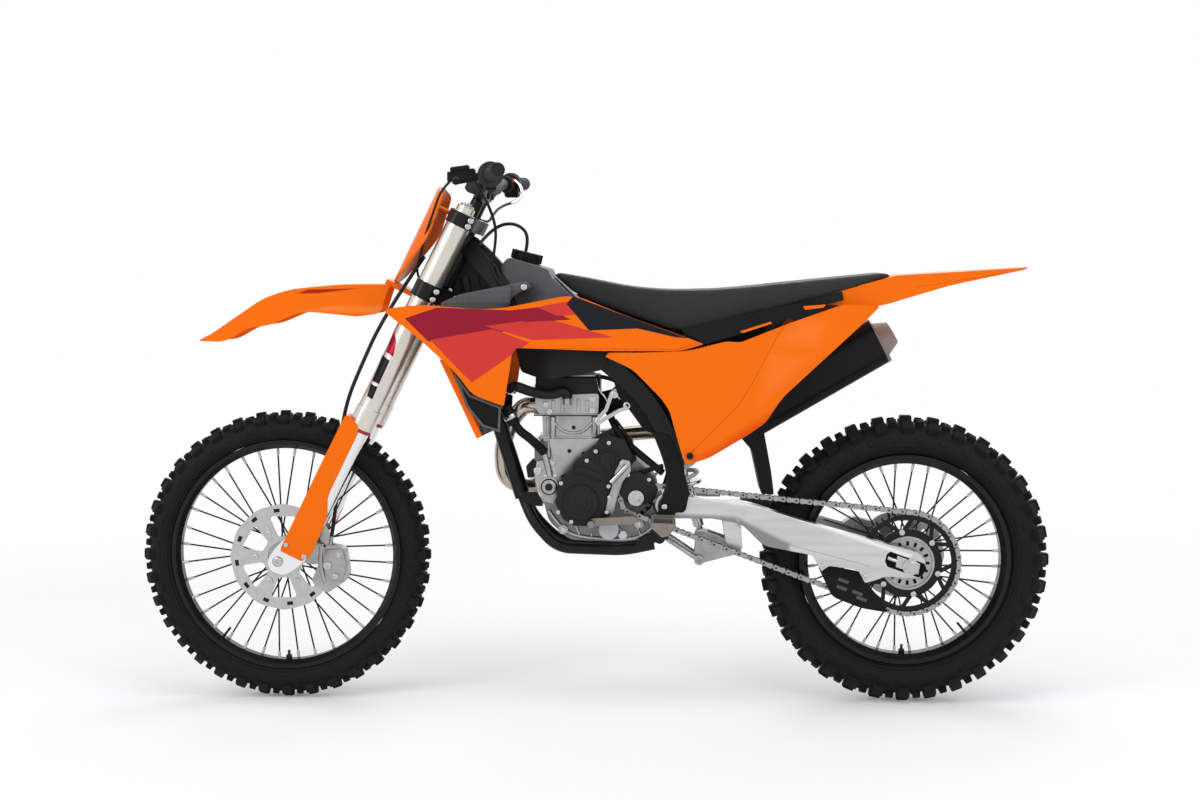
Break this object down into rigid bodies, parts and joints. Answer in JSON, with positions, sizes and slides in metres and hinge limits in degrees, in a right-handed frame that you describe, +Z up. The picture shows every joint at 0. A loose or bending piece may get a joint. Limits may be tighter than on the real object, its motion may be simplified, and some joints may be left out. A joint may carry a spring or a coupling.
{
  "type": "motocross bike",
  "caption": "Off-road competition motorcycle with knobbly wire wheels, long-travel fork, open frame and single-cylinder engine, slim seat and angular bodywork.",
  "frame": {"origin": "the rider's place: the top of the seat's dip on the bike's middle plane", "axes": "+X rearward along the bike, +Y to the bike's right, +Z up"},
  "size_m": [2.189, 0.8172, 1.2833],
  "materials": {
    "black_paint": "satin",
    "black_plastic": "matt",
    "cast_alloy": "cast",
    "dark_casting": "matt",
    "steel": "brushed",
    "exhaust_steel": "heat tinted",
    "silencer_black": "matt",
    "grey_plastic": "matt",
    "hose": "matt",
    "seat_cover": "gripper",
    "orange_plastic": "gloss",
    "radiator_alloy": "matt",
    "spring_steel": "gloss",
    "brushed_alloy": "brushed",
    "chain_steel": "oiled",
    "fork_alloy": "anodised",
    "chrome": "polished",
    "bar_alloy": "anodised",
    "grip_rubber": "matt",
    "tyre": "matt",
    "rim_black": "satin",
    "disc_steel": "ground"
  },
  "bodies": {
    "chassis": {"frame_main": "black_paint", "frame_cradle": "black_paint", "frame_guards": "black_plastic", "subframe": "black_paint", "engine_crankcase": "cast_alloy", "engine_cylinder": "cast_alloy", "engine_covers": "dark_casting", "front_sprocket": "steel", "exhaust_header": "exhaust_steel", "silencer": "silencer_black", "airbox": "black_plastic", "fuel_tank": "grey_plastic", "fuel_cap": "black_plastic", "tank_vent_hose": "hose", "coolant_hose": "hose", "seat": "seat_cover", "shrouds": "orange_plastic", "side_panels": "orange_plastic", "grab_strips": "black_plastic", "radiators": "radiator_alloy", "radiator_guards": "orange_plastic", "rear_fender": "orange_plastic", "mud_flap": "black_plastic", "footpegs": "steel", "foot_levers": "steel", "shock": "spring_steel", "linkage": "cast_alloy", "swingarm": "brushed_alloy", "rear_axle": "steel", "chain": "chain_steel", "chain_guide": "black_plastic", "rear_caliper": "cast_alloy"},
    "steering": {"triple_clamps": "black_paint", "fork_tubes": "fork_alloy", "fork_sliders": "chrome", "fork_guards": "orange_plastic", "front_fender": "orange_plastic", "number_plate": "orange_plastic", "handlebar": "bar_alloy", "bar_pad": "black_plastic", "grips": "grip_rubber", "hand_levers": "black_plastic", "front_axle": "steel", "front_caliper": "cast_alloy", "brake_hose": "hose", "control_cables": "hose"},
    "front_wheel": {"front_tyre": "tyre", "front_rim": "rim_black", "front_hub": "cast_alloy", "front_spokes": "rim_black", "front_disc": "disc_steel"},
    "rear_wheel": {"rear_tyre": "tyre", "rear_rim": "rim_black", "rear_hub": "cast_alloy", "rear_spokes": "rim_black", "rear_sprocket": "disc_steel", "rear_disc": "disc_steel"}
  },
  "joints": [
    {"name": "steering_turn", "type": "hinge", "parent": "chassis", "child": "steering", "pos_m": [-0.89612, 0, -0.6674], "axis": [0.4399, 0, 0.898], "range_deg": [-42, 42], "deforming": ["control_cables", "tank_vent_hose"]},
    {"name": "front_wheel_spin", "type": "hinge", "parent": "steering", "child": "front_wheel", "pos_m": [-0.95, 0, -0.641], "axis": [0, 1, 0], "continuous": true},
    {"name": "rear_wheel_spin", "type": "hinge", "parent": "chassis", "child": "rear_wheel", "pos_m": [0.543, 0, -0.645], "axis": [0, 1, 0], "continuous": true}
  ]
}
